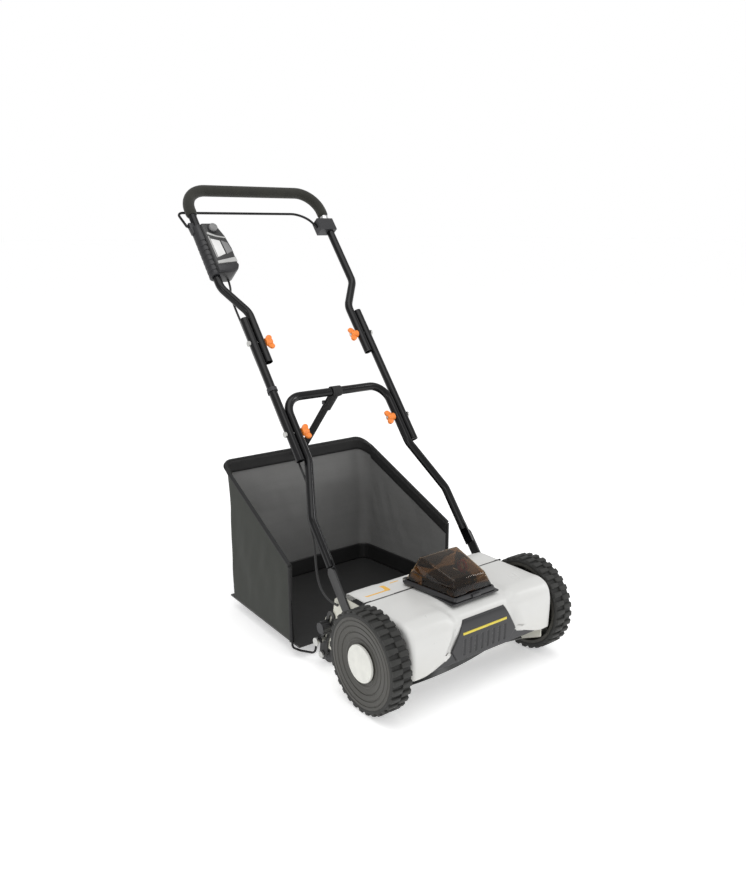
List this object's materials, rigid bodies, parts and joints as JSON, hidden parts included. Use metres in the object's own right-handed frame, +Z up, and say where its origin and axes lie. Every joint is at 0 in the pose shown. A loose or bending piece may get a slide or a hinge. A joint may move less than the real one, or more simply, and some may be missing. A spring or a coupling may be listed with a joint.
{
  "type": "reel mower",
  "caption": "Battery reel mower: white hood over a helical cutting reel, treaded side wheels, rear roller, folding tube handle with foam grip and switch box, and a fabric grass catcher.",
  "frame": {"origin": "on the ground, under the middle of the line through the two wheels' centres", "axes": "+X to the mower's right as its user stands behind it, +Y to the rear, where the handle rises, +Z up"},
  "size_m": [0.4934, 0.8829, 0.9938],
  "materials": {
    "black_tube": "gloss",
    "bare_steel": "satin",
    "dark_steel": "matt",
    "reel_green": "satin",
    "white_shell": "satin",
    "black_plastic": "matt",
    "grey_plastic": "matt",
    "orange_plastic": "satin",
    "yellow_strip": "satin",
    "red_plastic": "gloss",
    "tyre_rubber": "matt",
    "cap_plastic": "satin",
    "smoked_cover": "gloss",
    "foam": "matt",
    "bag_fabric": "woven",
    "webbing": "woven",
    "cable_sheath": "matt",
    "brass": "satin"
  },
  "bodies": {
    "chassis": {"side_plate_left": "white_shell", "side_plate_right": "white_shell", "deck_hood": "white_shell", "rear_panel": "white_shell", "front_panel": "black_plastic", "accent_strip": "yellow_strip", "cross_braces": "dark_steel", "reel_bearings": "bare_steel", "bed_knife": "bare_steel", "bed_knife_bar": "dark_steel", "motor": "dark_steel", "motor_bracket": "bare_steel", "battery_dock": "black_plastic", "stub_axles": "bare_steel", "side_plate_studs": "bare_steel", "cover_hinge_pin": "bare_steel"},
    "wheel_left": {"tyre_left": "tyre_rubber", "wheel_disc_left": "grey_plastic", "hub_cap_left": "cap_plastic"},
    "wheel_right": {"tyre_right": "tyre_rubber", "wheel_disc_right": "grey_plastic", "hub_cap_right": "cap_plastic"},
    "reel": {"reel_shaft": "bare_steel", "reel_discs": "reel_green", "reel_blades": "bare_steel", "reel_gear": "black_plastic"},
    "idler": {"idler_gear": "black_plastic"},
    "motor_rotor": {"motor_shaft": "bare_steel", "motor_pinion": "brass"},
    "cover": {"battery_cover": "smoked_cover"},
    "battery": {"battery_pack": "black_plastic"},
    "key": {"safety_key": "red_plastic"},
    "roller_frame": {"roller_brackets": "dark_steel", "roller_axle": "bare_steel"},
    "roller": {"rear_roller": "black_plastic"},
    "height_knob_left": {"height_knob_left": "black_plastic"},
    "height_knob_right": {"height_knob_right": "black_plastic"},
    "handle_lower": {"lower_handle": "black_tube", "handle_feet": "dark_steel", "fold_bolts_low": "bare_steel", "hanger_strap": "webbing", "cable_lower": "cable_sheath"},
    "handle_middle": {"middle_tubes": "black_tube", "fold_bolts_high": "bare_steel", "cable_middle": "cable_sheath", "cable_clip_middle": "black_plastic"},
    "handle_upper": {"upper_handle": "black_tube", "foam_grip": "foam", "switch_box": "black_plastic", "bail_block": "black_plastic", "cable_upper": "cable_sheath"},
    "bail": {"bail_lever": "black_tube"},
    "lock": {"lock_button": "grey_plastic"},
    "wing_low_left": {"wing_knob_low_left": "orange_plastic"},
    "wing_low_right": {"wing_knob_low_right": "orange_plastic"},
    "wing_high_left": {"wing_knob_high_left": "orange_plastic"},
    "wing_high_right": {"wing_knob_high_right": "orange_plastic"},
    "catcher": {"catcher_bag": "bag_fabric", "catcher_floor": "black_plastic", "catcher_frame": "black_tube"}
  },
  "joints": [
    {"name": "wheel_left_spin", "type": "hinge", "parent": "chassis", "child": "wheel_left", "pos_m": [-0.22, 0, 0.102], "axis": [1, 0, 0], "continuous": true},
    {"name": "wheel_right_spin", "type": "hinge", "parent": "chassis", "child": "wheel_right", "pos_m": [0.22, 0, 0.102], "axis": [1, 0, 0], "continuous": true},
    {"name": "reel_spin", "type": "hinge", "parent": "chassis", "child": "reel", "pos_m": [0, 0.005, 0.076], "axis": [1, 0, 0], "continuous": true},
    {"name": "idler_spin", "type": "hinge", "parent": "chassis", "child": "idler", "pos_m": [0, 0.08002, 0.09735], "axis": [1, 0, 0], "continuous": true},
    {"name": "motor_spin", "type": "hinge", "parent": "chassis", "child": "motor_rotor", "pos_m": [0, 0.092, 0.15], "axis": [1, 0, 0], "continuous": true},
    {"name": "roller_height", "type": "slide", "parent": "chassis", "child": "roller_frame", "axis": [0, 0.3846, -0.9231], "range_m": [0, 0.025]},
    {"name": "roller_spin", "type": "hinge", "parent": "roller_frame", "child": "roller", "pos_m": [0, 0.2, 0.0225], "axis": [1, 0, 0], "continuous": true},
    {"name": "height_knob_left_turn", "type": "hinge", "parent": "chassis", "child": "height_knob_left", "pos_m": [-0.2, 0.179, 0.095], "axis": [1, 0, 0], "continuous": true},
    {"name": "height_knob_right_turn", "type": "hinge", "parent": "chassis", "child": "height_knob_right", "pos_m": [0.2, 0.179, 0.095], "axis": [1, 0, 0], "continuous": true},
    {"name": "cover_hinge", "type": "hinge", "parent": "chassis", "child": "cover", "pos_m": [0, 0.09, 0.194], "axis": [-1, 0, 0], "range_deg": [0, 80]},
    {"name": "battery_lift", "type": "slide", "parent": "chassis", "child": "battery", "axis": [0, 0, 1], "range_m": [0, 0.005]},
    {"name": "key_lift", "type": "slide", "parent": "chassis", "child": "key", "axis": [0, 0, 1], "range_m": [0, 0.006]},
    {"name": "handle_tilt", "type": "hinge", "parent": "chassis", "child": "handle_lower", "pos_m": [0, 0.107, 0.141], "axis": [1, 0, 0], "range_deg": [0, 30], "deforming": ["cable_lower", "hanger_strap"]},
    {"name": "fold_low", "type": "hinge", "parent": "handle_lower", "child": "handle_middle", "pos_m": [0, 0.36178, 0.46477], "axis": [1, 0, 0], "range_deg": [0, 150], "deforming": ["cable_middle"]},
    {"name": "fold_high", "type": "hinge", "parent": "handle_middle", "child": "handle_upper", "pos_m": [0, 0.50402, 0.64552], "axis": [1, 0, 0], "range_deg": [-90, 0], "deforming": ["cable_upper"]},
    {"name": "bail_squeeze", "type": "hinge", "parent": "handle_upper", "child": "bail", "pos_m": [0, 0.70191, 0.89699], "axis": [-1, 0, 0], "range_deg": [0, 30], "stiffness_Nm_per_rad": 0.4},
    {"name": "lock_press", "type": "slide", "parent": "handle_upper", "child": "lock", "axis": [0, 0.7859, -0.6184], "range_m": [0, 0.004], "stiffness_N_per_m": 300},
    {"name": "wing_low_left_turn", "type": "hinge", "parent": "handle_lower", "child": "wing_low_left", "pos_m": [-0.12, 0.36178, 0.46477], "axis": [1, 0, 0], "continuous": true},
    {"name": "wing_low_right_turn", "type": "hinge", "parent": "handle_lower", "child": "wing_low_right", "pos_m": [0.12, 0.36178, 0.46477], "axis": [1, 0, 0], "continuous": true},
    {"name": "wing_high_left_turn", "type": "hinge", "parent": "handle_middle", "child": "wing_high_left", "pos_m": [-0.12, 0.50402, 0.64552], "axis": [1, 0, 0], "continuous": true},
    {"name": "wing_high_right_turn", "type": "hinge", "parent": "handle_middle", "child": "wing_high_right", "pos_m": [0.12, 0.50402, 0.64552], "axis": [1, 0, 0], "continuous": true},
    {"name": "catcher_lift", "type": "slide", "parent": "chassis", "child": "catcher", "axis": [0, 0.5, 0.866], "range_m": [0, 0.08]}
  ],
  "couplings": [
    {"joint": "idler_spin", "follows": "reel_spin", "ratio": -0.85714},
    {"joint": "motor_spin", "follows": "reel_spin", "ratio": 3}
  ]
}
